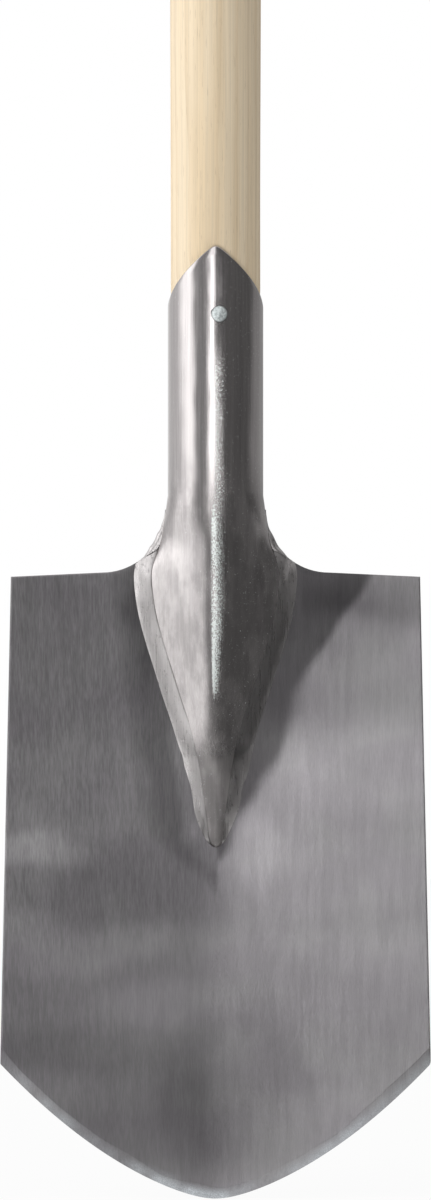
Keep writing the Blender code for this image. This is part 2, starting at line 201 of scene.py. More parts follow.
# Mesh fineness
blade_rows = 96
socket_steps = 64
strap_rows = 110
strap_row_crowding = 1.2
nose_rows = 8
mouth_rows = 26
tube_rows = 12
flow_steps = 3
flow_end_weight = 0.8
wood_steps = 96
ground_shares = (0.0, 0.35, 0.7, 0.96)
ground_border_share = 0.0006
weld_shares = (0.0, 0.04, 0.09, 0.16, 0.28, 0.4, 0.55, 0.7, 0.85, 1.0)

# Distances from the blade's rim at which its rounding needs points
rim_places = [rim_round * share for share in (0.0, 0.08, 0.35, 1.0)]

# The picture
picture_height_metres = 0.5066
camera_distance = 3.5
camera_above_tip = 0.2509
long_side_of_sensor = 36.0


def clamp(value, low=0.0, high=1.0):
    return min(max(value, low), high)


def ease(fraction):
    """A smooth step from 0 to 1."""
    fraction = clamp(fraction)
    return fraction * fraction * (3 - 2 * fraction)


def rising(value, start, length):
    """0 up to the start, then smoothly up to 1 within a length."""
    return ease((value - start) / length)


def falling(value, end, length):
    """1 at first, then smoothly down over a length to 0 at the end."""
    return ease((end - value) / length)


def near(distance, reach):
    """1 close to a place, a half at its reach, and 0 well past it."""
    return ease(1.5 - distance / reach)


def between(first, last, share):
    return first + (last - first) * share


def shares(steps, first=0):
    """Even shares up to 1, from 0 or from a later step."""
    return [k / steps for k in range(first, steps + 1)]


def turns(steps):
    """Even angles round a full turn."""
    return [math.tau * k / steps for k in range(steps)]


def through(stations, at, which):
    """A smooth curve without overshoot through the stations' values number which."""
    places = [station[0] for station in stations]
    values = [station[which] for station in stations]
    at = clamp(at, places[0], places[-1])
    steps = [b - a for a, b in zip(places, places[1:])]
    slopes = [(b - a) / step for a, b, step in zip(values, values[1:], steps)]
    tangents = [slopes[0]]
    for before, after in zip(slopes, slopes[1:]):
        same_way = before * after > 0
        tangents.append(2 * before * after / (before + after) if same_way else 0.0)
    tangents.append(slopes[-1])
    span = max(i for i in range(len(steps)) if places[i] <= at)
    t = (at - places[span]) / steps[span]
    bend = steps[span] * t * (1 - t)
    straight = values[span] * (1 + 2 * t) * (1 - t) ** 2 + values[span + 1] * (3 - 2 * t) * t * t
    return straight + bend * ((1 - t) * tangents[span] - t * tangents[span + 1])


def bumps(length, *place):
    """Smooth noise from about -1 to 1 whose bumps are about length apart.

    A number that follows the coordinates only picks another slice of the noise."""
    while len(place) < 3:
        place = (*place, 0.2)
    return 2 * noise.noise(Vector(place) / length)


# Mesh building


def quads(bm, grid, closed=False):
    """Faces over a grid of vertices, whose columns may close into a ring."""
    columns = len(grid[0])
    last = columns if closed else columns - 1
    for lower, upper in zip(grid, grid[1:]):
        for c in range(last):
            d = (c + 1) % columns
            bm.faces.new((lower[c], lower[d], upper[d], upper[c]))


def vertices(bm, points):
    return [[bm.verts.new(point) for point in row] for row in points]


def plate(bm, front, back):
    """A closed plate between two grids of points of the same size."""
    front = vertices(bm, front)
    back = vertices(bm, back)
    quads(bm, front)
    quads(bm, back)
    for end in (0, -1):
        quads(bm, (front[end], back[end]))
        quads(bm, ([row[end] for row in front], [row[end] for row in back]))


def closed_tube(bm, rings, first_centre=None, last_centre=None):
    """A tube over rings of points, each end closed by one face or by a fan round a centre."""
    rings = vertices(bm, rings)
    quads(bm, rings, closed=True)
    for ring, centre in ((rings[0], first_centre), (rings[-1], last_centre)):
        if centre is None:
            bm.faces.new(ring)
            continue
        middle = bm.verts.new(centre)
        for a, b in zip(ring, ring[1:] + ring[:1]):
            bm.faces.new((a, b, middle))


def turn_about(point, along):
    """The angle of a point about the axis it is unrolled from."""
    return math.atan2(point.x, -point.y) if along == "z" else math.atan2(point.y, point.z)


def unroll(bm, along):
    """UVs with v along the brushing or the grain, and u across it.

    Round pieces are unrolled about the axis along; flat ones have along as "flat"."""
    layer = bm.loops.layers.uv.new("unrolled")
    for face in bm.faces:
        middle = turn_about(face.calc_center_median(), along)
        for loop in face.loops:
            point = loop.vert.co
            if along == "flat":
                loop[layer].uv = (point.x, point.z)
                continue
            turn = middle + (turn_about(point, along) - middle + math.pi) % math.tau - math.pi
            loop[layer].uv = (socket_radius * turn, point.z if along == "z" else point.x)


def in_scene(name, data):
    made = bpy.data.objects.new(name, data)
    bpy.context.scene.collection.objects.link(made)
    return made


def mesh_object(bm, name):
    mesh = bpy.data.meshes.new(name)
    bm.to_mesh(mesh)
    bm.free()
    return in_scene(name, mesh)


def finished(bm, name, nodes, look, along="flat", smooth_angle=35.0):
    """A named piece from a closed mesh, which stands for the part's nodes."""
    bmesh.ops.recalc_face_normals(bm, faces=bm.faces[:])
    unroll(bm, along)
    made = mesh_object(bm, name)
    made.data.shade_smooth()
    made.data.set_sharp_from_angle(angle=math.radians(smooth_angle))
    made.data.materials.append(look)
    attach(made, "root")
    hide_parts(*nodes)
    return made


def tone(piece, name, value_at):
    """A value from 0 to 1 on every vertex, for the material to read by name."""
    attribute = piece.data.attributes.new(name, "FLOAT", "POINT")
    for vertex in piece.data.vertices:
        x, y, z = vertex.co
        attribute.data[vertex.index].value = clamp(value_at(x, y, z + grip_height))


# Blade


def blade_front(x, height):
    """Y of the blade's front face: it leans forward from the neck down, and its sides too."""
    lean = (neck_top - height) * math.tan(blade_lift)
    bow = bow_depth * (x / heel_half_width) ** 2
    crease = crease_slope * (math.hypot(x, crease_round) - crease_round)
    return -lean - bow - crease - blade_thickness / 2


def ripple(x, height):
    """How far the pressed plate is out of true."""
    slow = bumps(ripple_length, x, height, 0.31)
    quick = bumps(ripple_length / quick_ripples_per_slow, x, height, 0.77)
    return ripple_height * (slow + quick_ripple_share * quick)


def sharp_edge_height(x):
    """Height of the cutting edge at x: a V with a round nose, plus a parabola."""
    v = edge_v_slope * (math.hypot(x, edge_nose_round) - edge_nose_round)
    return v + x * x / (2 * edge_bow_radius)


def edge_slope(x):
    return edge_v_slope + abs(x) / edge_bow_radius


def edge_height(x):
    """Height of the cutting edge at x: the left heel is nearly sharp, the right one worn round."""
    radius = left_heel_corner_radius if x < 0 else right_heel_corner_radius
    corner_x = heel_half_width - radius
    past = abs(x) - corner_x
    height = sharp_edge_height(x)
    slope = edge_slope(corner_x)
    if past <= radius * slope / math.hypot(1, slope):
        return height
    centre = sharp_edge_height(corner_x) + radius * math.hypot(1, slope)
    rounded = centre - math.sqrt(max(radius**2 - past**2, 0.0))
    return max(height, rounded)


def shoulder_top(x):
    """Height of the blade's top edge: neck, fillet, then the slightly falling tread."""
    if abs(x) <= neck_half_width:
        return neck_top
    if abs(x) < fillet_end:
        return neck_top - math.sqrt(neck_fillet_radius**2 - (fillet_end - abs(x)) ** 2)
    tread = (abs(x) - fillet_end) / (shoulder_half_width - fillet_end)
    return shoulder_height - shoulder_fall * tread


def rim_fall(distance):
    """How far a face falls away at a distance from the plate's rounded rim."""
    inside = clamp(rim_round - distance, 0.0, rim_round)
    return rim_round - math.sqrt(rim_round**2 - inside**2)


def blade_columns():
    """Places across the blade as shares of its half-width, denser where its outline bends."""
    neck_steps, fillet_steps, tread_steps = 14, 20, 34
    right = [neck_half_width * share for share in shares(neck_steps)[:-1]]
    for share in shares(fillet_steps)[:-1]:
        turn = math.pi / 2 * share
        right.append(neck_half_width + neck_fillet_radius * (1 - math.cos(turn)))
    tread_end = shoulder_half_width - right_heel_corner_radius
    right += [between(fillet_end, tread_end, share) for share in shares(tread_steps)[:-1]]
    corner_shares = (1.0, 0.8, 0.6, 0.42, 0.28)
    right += [shoulder_half_width - right_heel_corner_radius * share for share in corner_shares]
    right += [shoulder_half_width - place for place in reversed(rim_places)]
    right = [x / shoulder_half_width for x in right]
    return [-share for share in reversed(right[1:])] + right


def blade_row_places():
    """Places up the blade: the ground band, its crisp border, then rows to the rounded top."""
    rows = [("ground", share) for share in ground_shares]
    rows += [("face", share) for share in (0.0, ground_border_share)]
    rows += [("face", share) for share in shares(blade_rows, 1)[:-1]]
    rows += [("rim", place) for place in reversed(rim_places)]
    return rows


def blade_points(kind, place, share):
    """The blade's front and back points at a row's place and a share of its half-width."""
    edge_x = share * heel_half_width
    top_x = share * shoulder_half_width
    low = edge_height(edge_x)
    band = ground_width * (1 + ground_width_wander * bumps(ground_wander_length, edge_x, 0.0, 0.5))
    ground = low + band * math.hypot(1, edge_slope(edge_x))
    top = shoulder_top(top_x)
    fall = rim_fall((1 - abs(share)) * shoulder_half_width)
    if kind == "ground":
        height = between(low, ground, place)
        fall = 0.0
    elif kind == "face":
        height = between(ground, top - rim_round, place)
    else:
        height = top - place
        fall = max(fall, rim_fall(place))
    x = between(edge_x, top_x, (height - low) / (top - low))
    sharpened = 1 - clamp((height - low) / (ground - low))
    thinned = (blade_thickness - ground_edge_thickness) * sharpened
    y = blade_front(x, height) + ripple(x, height)
    z = height - grip_height
    return (x, y + thinned + fall, z), (x, y + blade_thickness - fall, z)


def make_blade(look):
    columns = blade_columns()
    rows = [[blade_points(*place, share) for share in columns] for place in blade_row_places()]
    front = [[pair[0] for pair in row] for row in rows]
    back = [[pair[1] for pair in row] for row in rows]
    bm = bmesh.new()
    plate(bm, front, back)
    return finished(bm, "blade_steel", ["blade"], look)


# Socket and straps


def seat(side, x, height):
    """How far before (side -1) or behind (side 1) the axis a strap meets the blade."""
    opening = clamp((slit_top - height) / slit_flare)
    face = blade_front(x, height) + (blade_thickness if side > 0 else 0.0)
    return opening * side * face


def strap_stations(side):
    named = back_strap_stations if side > 0 else front_strap_stations
    return ((0.0, socket_radius, socket_radius),) + named


def ring_at(side, height):
    """What every point of the socket's or a strap's section at a height shares."""
    drop = slit_top - height
    roof = ease(drop / roof_whole)
    in_line = socket_radius + ridge_stand_out * roof - seat(side, 0.0, height)
    before_nose = clamp((strap_stations(side)[-1][0] - drop) / strap_nose)
    nose = math.sqrt(max(1 - (1 - before_nose) ** 2, least_nose_share))
    crown = min(through(strap_stations(side), drop, 2), in_line) * nose**2
    return {
        "height": height,
        "roof": roof,
        "half_width": through(strap_stations(side), drop, 1) * nose,
        "crown": crown,
        "lip": min(edge_rise, most_edge_share * crown) * ease(drop / edge_height_whole),
    }


def strap_rings(side):
    """The sections from the slit's flare to the strap's round nose."""
    start = slit_top - slit_flare
    end = slit_top - strap_stations(side)[-1][0] + strap_nose
    heights = [between(start, end, share**strap_row_crowding) for share in shares(strap_rows)]
    heights += [end - strap_nose * math.sin(math.pi / 2 * share) for share in shares(nose_rows, 1)]
    return [ring_at(side, height) for height in heights]


def section_point(side, ring, angle, inner):
    """(x, depth) of the outer or inner skin at an angle from its ridge.

    The section is round down to the slit's top and turns into a roof with a rounded ridge."""
    across = math.sin(angle)
    roof, half_width, crown, lip = ring["roof"], ring["half_width"], ring["crown"], ring["lip"]
    rounding = min(ridge_round / half_width, widest_ridge_share)
    peak = math.hypot(1, rounding) - rounding
    slope = 1 - (math.hypot(across, rounding) - rounding) / peak
    shape = (1 - roof) * math.cos(angle) + roof * slope
    if inner:
        half_width = max(half_width - socket_wall * (1 - roof / 2), 0.0)
        crown = max(crown - socket_wall, 0.0)
        lip = 0.0
    x = half_width * across
    return x, seat(side, x, ring["height"]) + lip + (crown - lip) * shape


def flow_rings(side, height):
    """Nearby sections, whose mean lets the tube flow into the strap, with their weights."""
    reach = forging_flow * ease(2 - abs(height - slit_top) / forging_flow)
    if reach == 0:
        return [(ring_at(side, height), 1.0)]
    rings = []
    for step in range(-flow_steps, flow_steps + 1):
        weight = flow_steps + flow_end_weight - abs(step)
        rings.append((ring_at(side, height + reach * step / flow_steps), weight))
    return rings


def outer_row(side, height, angles):
    """The socket's outer skin at one height, with the slight waves of its forging."""
    rings = flow_rings(side, height)
    whole = sum(weight for _, weight in rings)
    here = ring_at(side, height)
    row = []
    for angle in angles:
        x, depth = section_point(side, here, angle, False)
        flowing = sum(weight * section_point(side, ring, angle, False)[1] for ring, weight in rings)
        at_seam = rising(abs(math.sin(angle)), *side_seam_start)
        depth = between(flowing / whole, depth, at_seam)
        below_mouth = clamp((mouth_height(angle) - height) / forging_length)
        wave = forging_height * bumps(forging_length, x, height, side * 0.4) * below_mouth
        depth += wave * math.cos(angle)
        row.append((x, side * depth, height - grip_height))
    return row


def mouth_height(angle):
    """The socket's mouth rises to a point at the front and the back."""
    wave = math.asin(mouth_point_sharpness * math.cos(2 * angle))
    share = 0.5 + 0.5 * wave / math.asin(mouth_point_sharpness)
    return mouth_side + mouth_point_rise * share


def tube_point(side, angle, radius, height):
    return (radius * math.sin(angle), side * radius * math.cos(angle), height - grip_height)


def half_socket(bm, side):
    """The front or back half of the socket, open along its seams down to the slit."""
    angles = [math.pi * (share - 0.5) for share in shares(socket_steps)]
    outer = []
    for share in (1.0, 0.67, 0.33, 0.0):
        turn = math.pi / 2 * share
        drop = mouth_edge_round * (1 - math.sin(turn))
        radius = socket_radius - mouth_edge_round * (1 - math.cos(turn))
        outer.append([tube_point(side, a, radius, mouth_height(a) - drop) for a in angles])
    # The tube's rows follow the mouth at first, and are level where the forging flows.
    level = slit_top + 2 * forging_flow
    for share in shares(mouth_rows, 1):
        heights = [between(mouth_height(a) - mouth_edge_round, level, share) for a in angles]
        outer.append([outer_row(side, height, [a])[0] for height, a in zip(heights, angles)])
    for share in shares(tube_rows, 1):
        outer.append(outer_row(side, between(level, slit_top, share), angles))
    slit_row = len(outer) - 1
    inner = [[tube_point(side, a, inner_radius, mouth_height(a)) for a in angles]]
    inner.append([tube_point(side, a, inner_radius, slit_top) for a in angles])
    for ring in strap_rings(side):
        height = ring["height"]
        outer.append(outer_row(side, height, angles))
        within = [section_point(side, ring, a, True) for a in angles]
        inner.append([(x, side * depth, height - grip_height) for x, depth in within])
    outer = vertices(bm, outer)
    inner = vertices(bm, inner)
    quads(bm, outer)
    quads(bm, inner)
    for end in (0, -1):
        quads(bm, (outer[end], inner[end]))
        quads(bm, ([row[end] for row in outer[slit_row:]], [row[end] for row in inner[1:]]))


def make_socket(look):
    bm = bmesh.new()
    half_socket(bm, -1)
    half_socket(bm, 1)
    bmesh.ops.remove_doubles(bm, verts=bm.verts[:], dist=1e-7)
    return finished(bm, "socket_steel", ["socket"], look, "z", 40.0)


# Welds


def make_strap_weld(side, hand, name, look):
    """A fillet weld between a strap's edge and the blade, ground to a lumpy ramp."""
    smoothed_length = 0.008
    roots, caps = [], []
    rings = strap_rings(side)
    for ring in rings:
        height = ring["height"]
        if height > slit_top - weld_start:
            continue
        root_x = ring["half_width"]
        run_out = 1 - clamp((height - rings[-1]["height"]) / weld_run_out)
        leg = weld_leg * (1 - run_out**2)
        if height > shoulder_height:
            reach = neck_top - height
            outline = fillet_end - math.sqrt(neck_fillet_radius**2 - reach**2)
            leg = min(leg, outline - root_x)
        lip = max(ring["lip"], 2 * weld_toe)
        as_laid = rising(height, shoulder_height - smoothed_length, smoothed_length)
        lump_height = weld_lump_height * between(smooth_weld_share, 1.0, as_laid)
        root_row, cap_row = [], []
        for share in weld_shares:
            x = root_x + max(leg, weld_toe) * share
            base = seat(side, x, height)
            lump = lump_height * bumps(weld_lump_length, hand * x, height, side * 0.6)
            rise = max(lip * (1 - share) ** weld_ramp_power + lump * math.sin(math.pi * share), 0.0)
            root_row.append((hand * x, side * (base - weld_toe), height - grip_height))
            cap_row.append((hand * x, side * (base + rise + weld_toe / 8), height - grip_height))
        roots.append(root_row)
        caps.append(cap_row)
    bm = bmesh.new()
    plate(bm, caps, roots)
    bead = finished(bm, f"{name}_bead", [name], look, "z", 50.0)
    tone(bead, "seam", seam_nearness)
    # painted shade on the right welds, a dull low end on the left one
    tone(bead, "dull_and_shade", weld_dull_and_shade)


def make_neck_weld(hand, name, look):
    """A lumpy bead round the edge of the blade's neck, which closes the slit's sides there."""
    bead_steps, section_steps = 56, 20
    bead_length, bead_girth, hand_shift = 0.03, 0.004, 0.02
    swell_power, narrowing_power, side_power = 1.4, 0.7, 0.75
    lump_share = 0.2
    lump_height, lump_length = neck_bead_lumps[hand]
    rings = []
    for along in shares(bead_steps):
        turn = neck_bead_arc * along
        fullness = between(neck_bead_end_fullness, 1.0, math.sin(math.pi * along**swell_power))
        row = []
        for over in shares(section_steps):
            lean = math.pi * over
            place = hand * hand_shift + along * bead_length
            lump = bumps(lump_length, place, bead_girth * over) * (lump_height * fullness)
            out = neck_bead_heights[hand] * fullness + lump
            edge_x = neck_half_width + neck_fillet_radius * (1 - math.cos(turn)) + out * math.cos(turn)
            height = neck_top - neck_fillet_radius * math.sin(turn) + out * math.sin(turn)
            ring = ring_at(-1 if lean < math.pi / 2 else 1, height)
            root_x = max(min(ring["half_width"], edge_x) - neck_bead_root, 0.0)
            root_x = between(edge_x, root_x, fullness**narrowing_power)
            x = between(root_x, edge_x, math.sin(lean) ** side_power)
            middle = blade_front(x, height) + blade_thickness / 2
            cover = (ring["lip"] + neck_bead_cover) * fullness**narrowing_power
            half = blade_thickness / 2 + cover + lump_share * lump
            row.append((hand * x, middle - half * math.cos(lean), height - grip_height))
        rings.append(row)
    bm = bmesh.new()
    closed_tube(bm, rings)
    bead = finished(bm, f"{name}_bead", [name], look, "z", 60.0)
    # painted shade on the right neck bead
    tone(bead, "dull_and_shade", weld_dull_and_shade)


# Rivet and pin


def hammered_head(bm, side, centre, radius, height, seat_y):
    """A rivet head beaten over: a low dome with flat hammer marks and an uneven rim."""
    rings, steps = 9, 40

    def point(x, z, out):
        dome = 1 - out**head_dome_power
        mark = hammer_mark_depth * bumps(hammer_mark_length, x, z, side * 0.01)
        rise = height * (head_rim_share + head_dome_share * dome) + mark * dome
        return x, side * (seat_y + max(rise, 0.0)), z

    grid = []
    for out in shares(rings, 1):
        row = []
        for turn in turns(steps):
            across, up = math.cos(turn), math.sin(turn)
            uneven = head_rim_wander * bumps(head_rim_wander_length, across, up, side * 0.5)
            reach = radius * out * (1 + uneven)
            row.append(point(centre[0] + reach * across, centre[1] + reach * up, out))
        grid.append(row)
    grid.append([(x, side * (seat_y - height), z) for x, _, z in grid[-1]])
    closed_tube(bm, grid, first_centre=point(*centre, 0.0))


def make_rivet(look):
    bm = bmesh.new()
    centre = (rivet_offset, rivet_height - grip_height)
    for side in (-1, 1):
        hammered_head(bm, side, centre, rivet_head_radius, rivet_head_height, socket_radius - hair)
    return finished(bm, "hammered_rivet", ["socket_rivet"], look, smooth_angle=60.0)


def make_grip_pin(look):
    bm = bmesh.new()
    seat_y = boss_top(grip_pin_drop) - grip_pin_stand_out
    for side in (-1, 1):
        hammered_head(bm, side, (0.0, -grip_pin_drop), grip_pin_radius, 2 * grip_pin_stand_out, seat_y)
    return finished(bm, "cut_pin", ["grip_pin"], look, smooth_angle=60.0)


# Ash shaft, crossbar and wedge


def boss_top(y):
    """Height of the crossbar's round top over its axis at y."""
    return math.sqrt(max(crossbar_boss_radius**2 - y * y, 0.0))


def wood_ripple(angle, along):
    """The slight flats and waves that a plane leaves along the wood."""
    place = (math.cos(angle), math.sin(angle), along * wood_ripple_pace)
    return wood_ripple_height * bumps(wood_flat_width, *place)


def shaft_rings():
    """Height, radius, and how much it follows the mouth's rise, of each ring up to the horns."""
    swell_steps, blend_steps, upper_steps, taper_steps = 8, 16, 60, 40
    foot = slit_top + shaft_end_above_slit
    fitting = inner_radius - hair
    lip_end = mouth_side + shaft_lip_rise + shaft_lip_run
    blend_end = mouth_point + 3 * shaft_lip_run
    belly = mouth_point + shaft_belly_above_mouth
    taper_start = grip_height - shaft_taper_length
    taper_end = grip_height - crossbar_boss_radius - horn_height
    rings = [(foot, fitting - shaft_foot_bevel, 0.0), (foot + shaft_foot_bevel, fitting, 0.0)]
    rings.append((mouth_side - shaft_lip_drop, fitting, 1.0))
    for share in shares(swell_steps):
        radius = between(fitting, shaft_mouth_radius, math.sin(math.pi / 2 * share))
        rings.append((between(mouth_side, lip_end, share), radius, 1.0))
    for share in shares(blend_steps, 1):
        rings.append((between(lip_end, blend_end, share), shaft_mouth_radius, 1.0 - share))
    upper = ((blend_end, shaft_mouth_radius), (belly, shaft_belly_radius))
    upper += ((taper_start, shaft_belly_radius),)
    for share in shares(upper_steps, 1):
        height = between(blend_end, taper_start, share)
        rings.append((height, through(upper, height, 1), 0.0))
    for share in shares(taper_steps, 1):
        radius = between(shaft_belly_radius, shaft_top_radius, share)
        rings.append((between(taper_start, taper_end, share), radius, 0.0))
    return rings


def make_shaft(look):
    """The ash shaft stands a little proud above the mouth, and is coped round the crossbar."""
    angles = turns(wood_steps)
    grid = []
    for ring_height, radius, follows in shaft_rings():
        row = []
        for angle in angles:
            height = ring_height + (mouth_height(angle) - mouth_side) * follows
            uneven = wood_ripple(angle, height) if ring_height > mouth_side else 0.0
            row.append(tube_point(-1, angle, radius + uneven, height))
        grid.append(row)
    # The horns: the shaft's end is cut to the crossbar's round, with a softened edge.
    soft_row, top_row, core_row = [], [], []
    for angle in angles:
        deep_cut = boss_top(shaft_top_radius * math.cos(angle))
        cut = grip_height - max(deep_cut, horn_cut_depth) - hair
        under_bar = grip_height - boss_top(tenon_radius * math.cos(angle))
        soft_row.append(tube_point(-1, angle, shaft_top_radius, cut - horn_edge_drop))
        top_row.append(tube_point(-1, angle, shaft_top_radius - horn_edge_inset, cut))
        core_row.append(tube_point(-1, angle, tenon_radius, under_bar))
    bm = bmesh.new()
    core_top = (0.0, 0.0, shaft_core_in_boss - crossbar_boss_radius)
    closed_tube(bm, grid + [soft_row, top_row, core_row], last_centre=core_top)
    return finished(bm, "ash_shaft", ["handle_shaft"], look, "z", 40.0)


def make_tenon_end(look):
    """The end of the shaft's tenon, dressed flush with the crossbar's round top."""
    steps, rings, depth = 64, 10, 0.003
    grid = []
    for share in shares(rings, 1):
        out = (tenon_radius - hair) * share
        places = [(out * math.sin(turn), -out * math.cos(turn)) for turn in turns(steps)]
        grid.append([(x, y, boss_top(y) + tenon_stand_out) for x, y in places])
    grid.append([(x, y, z - depth) for x, y, z in grid[-1]])
    bm = bmesh.new()
    closed_tube(bm, grid, first_centre=(0.0, 0.0, crossbar_boss_radius + tenon_stand_out))
    return finished(bm, "tenon_end", ["handle_shaft"], look, smooth_angle=40.0)


def crossbar_profile():
    """(x, radius) points of the right half: boss, waist, knob and flat end."""
    boss_steps, belly_steps, end_steps = 10, 36, 16
    shape = (
        (crossbar_boss_half_length, crossbar_boss_radius),
        (crossbar_waist_at, crossbar_waist_radius),
        (crossbar_knob_at, crossbar_knob_radius),
    )
    boss = shares(boss_steps)[:-1]
    points = [(crossbar_boss_half_length * share, crossbar_boss_radius) for share in boss]
    for share in shares(belly_steps):
        x = between(crossbar_boss_half_length, crossbar_knob_at, share)
        points.append((x, through(shape, x, 1)))
    for share in shares(end_steps, 1):
        turn = math.pi / 2 * share
        x = between(crossbar_knob_at, crossbar_half_length, math.sin(turn))
        points.append((x, between(crossbar_end_radius, crossbar_knob_radius, math.cos(turn))))
    for share in (0.75, 0.4):
        x = crossbar_half_length + crossbar_end_dome * (1 - share)
        points.append((x, crossbar_end_radius * share))
    return points


def make_crossbar(look):
    right = crossbar_profile()
    profile = [(-x, radius) for x, radius in reversed(right[1:])] + right
    grid = []
    for x, radius in profile:
        row = []
        for angle in turns(wood_steps):
            out = radius + turned_ripple_share * wood_ripple(angle, x * turned_ripple_pace)
            row.append((x, out * math.sin(angle), out * math.cos(angle)))
        grid.append(row)
    end = crossbar_half_length + crossbar_end_dome
    bm = bmesh.new()
    closed_tube(bm, grid, (-end, 0.0, 0.0), (end, 0.0, 0.0))
    return finished(bm, "turned_crossbar", ["grip_crossbar"], look, "x", 40.0)


def make_wedge(look):
    """The wedge's end grain, dressed with the tenon and a little proud of it."""
    strips, depth = 16, 0.004
    reach = tenon_radius - wedge_top_thickness / 4
    half = wedge_top_thickness / 2
    halves = (half, half, half - wedge_stand_out)
    front, back = [], []
    for share in shares(strips):
        y = reach * (2 * share - 1)
        high = boss_top(y) + wedge_stand_out
        heights = (high - depth, high - wedge_stand_out, high)
        wander = wedge_wander_share * wedge_top_thickness
        wander *= bumps(wedge_wander_length, y, 0.2, 0.7)
        front.append([(wander - h, y, z) for h, z in zip(halves, heights)])
        back.append([(wander + h, y, z) for h, z in zip(halves, heights)])
    bm = bmesh.new()
    plate(bm, front, back)
    return finished(bm, "wedge_end", ["grip_wedge"], look, smooth_angle=40.0)


# Materials

plate_dark = (0.275, 0.262, 0.275)
plate_light = (0.305, 0.296, 0.303)
frost_dark = (0.36, 0.38, 0.40)
frost_light = (0.62, 0.65, 0.68)
tube_dark = (0.43, 0.405, 0.405)
tube_light = (0.50, 0.475, 0.47)
# Painted highlight on the worn front ridge of the strap
ridge_highlight_colour = (0.90, 0.95, 0.93)
weld_pit = (0.38, 0.36, 0.358)
# Fresh-ground weld metal, painted lighter for the sheen that its ramp catches
fresh_weld_with_sheen = (0.60, 0.575, 0.572)
weld_seam = (0.12, 0.11, 0.105)
rivet_dark = (0.52, 0.57, 0.57)
rivet_light = (0.80, 0.86, 0.86)
# Painted shadow round the rim of a hammered head
rivet_rim_shadow = (0.10, 0.10, 0.10)
ash_dark = (0.875, 0.70, 0.47)
ash_light = (0.935, 0.785, 0.575)
ash_growth_line = (0.70, 0.52, 0.31)
ash_pore = (0.46, 0.33, 0.20)
# Painted shadow of the socket's wall on the wood at the mouth
ash_shadow = (0.10, 0.085, 0.07)
wedge_dark = (0.30, 0.18, 0.095)
wedge_light = (0.46, 0.30, 0.17)


class Nodes:
    """Short ways to add nodes to a tree."""

    def __init__(self, tree):
        self.tree = tree

    def link(self, source, socket):
        """Feeds a socket from another socket, a number, a vector or a colour, which is opaque."""
        if isinstance(source, bpy.types.NodeSocket):
            self.tree.links.new(source, socket)
        elif isinstance(source, tuple):
            socket.default_value = (*source, 1.0)[: len(socket.default_value)]
        else:
            socket.default_value = source

    def node(self, kind, inputs, **settings):
        """A new node with its settings, and its inputs fed by name or number."""
        made = self.tree.nodes.new(kind)
        for name, value in settings.items():
            setattr(made, name, value)
        for name, source in inputs.items():
            self.link(source, made.inputs[name])
        return made

    def calc(self, operation, *values):
        return self.node("ShaderNodeMath", dict(enumerate(values)), operation=operation).outputs[0]

    def product(self, first, second):
        return self.calc("MULTIPLY", first, second)

    def scaled(self, value, factor, added):
        return self.calc("MULTIPLY_ADD", value, factor, added)

    def painted(self, name):
        """A tone stored on the piece's vertices."""
        return self.node("ShaderNodeAttribute", {}, attribute_name=name).outputs["Fac"]

    def seen(self):
        """1 for what the camera sees straight, through or mirrored, and 0 for its light."""
        rays = self.node("ShaderNodeLightPath", {}).outputs
        either = self.calc("MAXIMUM", rays["Is Camera Ray"], rays["Is Glossy Ray"])
        return self.calc("MAXIMUM", either, rays["Is Transmission Ray"])


class Look(Nodes):
    """A material whose nodes read the object's own coordinates."""

    def __init__(self, name, metallic=0.0, anisotropic=0.0):
        self.material = bpy.data.materials.new(name)
        self.material.use_nodes = True
        super().__init__(self.material.node_tree)
        self.shader = self.tree.nodes["Principled BSDF"]
        self.set("Metallic", metallic)
        self.place = self.node("ShaderNodeTexCoord", {}).outputs["Object"]
        if anisotropic:
            self.set("Anisotropic", anisotropic)
            along = self.node("ShaderNodeTangent", {}, direction_type="UV_MAP", uv_map="unrolled")
            self.set("Tangent", along.outputs["Tangent"])

    def set(self, name, source):
        self.link(source, self.shader.inputs[name])

    def moved(self, location, rotation, scale=(1.0, 1.0, 1.0)):
        """The object's coordinates, scaled, turned and shifted."""
        inputs = {"Vector": self.place, "Location": location, "Rotation": rotation, "Scale": scale}
        return self.node("ShaderNodeMapping", inputs).outputs["Vector"]

    def noise(self, per_metre, detail, roughness, shift=0.0, turned=(0.0, 0.0, 0.0)):
        """Noise with its bumps counted per metre along x, y and z."""
        place = self.moved((shift, shift, shift), turned, per_metre)
        inputs = {"Vector": place, "Scale": 1.0, "Detail": detail, "Roughness": roughness}
        return self.node("ShaderNodeTexNoise", inputs).outputs[0]

    def spread(self, value, low, high, to_low=0.0, to_high=1.0):
        """Maps a value from low..high to another range, smoothly and held at the ends."""
        inputs = {"Value": value, "From Min": low, "From Max": high, "To Min": to_low, "To Max": to_high}
        return self.node("ShaderNodeMapRange", inputs, interpolation_type="SMOOTHSTEP").outputs[0]

    def sway(self, noise, low, high):
        """Carries the usual range of a noise over to low..high."""
        return self.spread(noise, 0.3, 0.7, low, high)

    def mix(self, factor, first, second):
        return self.node("ShaderNodeMix", {0: factor, 6: first, 7: second}, data_type="RGBA").outputs[2]

    def times(self, colour, amount):
        """A colour multiplied by a number that varies over the surface."""
        inputs = {0: colour, "Scale": amount}
        return self.node("ShaderNodeVectorMath", inputs, operation="SCALE").outputs[0]

    def bump(self, height, metres, under=None):
        """The normal over a relief, which may lie on another one."""
        inputs = {"Strength": 1.0, "Distance": metres, "Height": height}
        if under is not None:
            inputs["Normal"] = under
        return self.node("ShaderNodeBump", inputs).outputs[0]


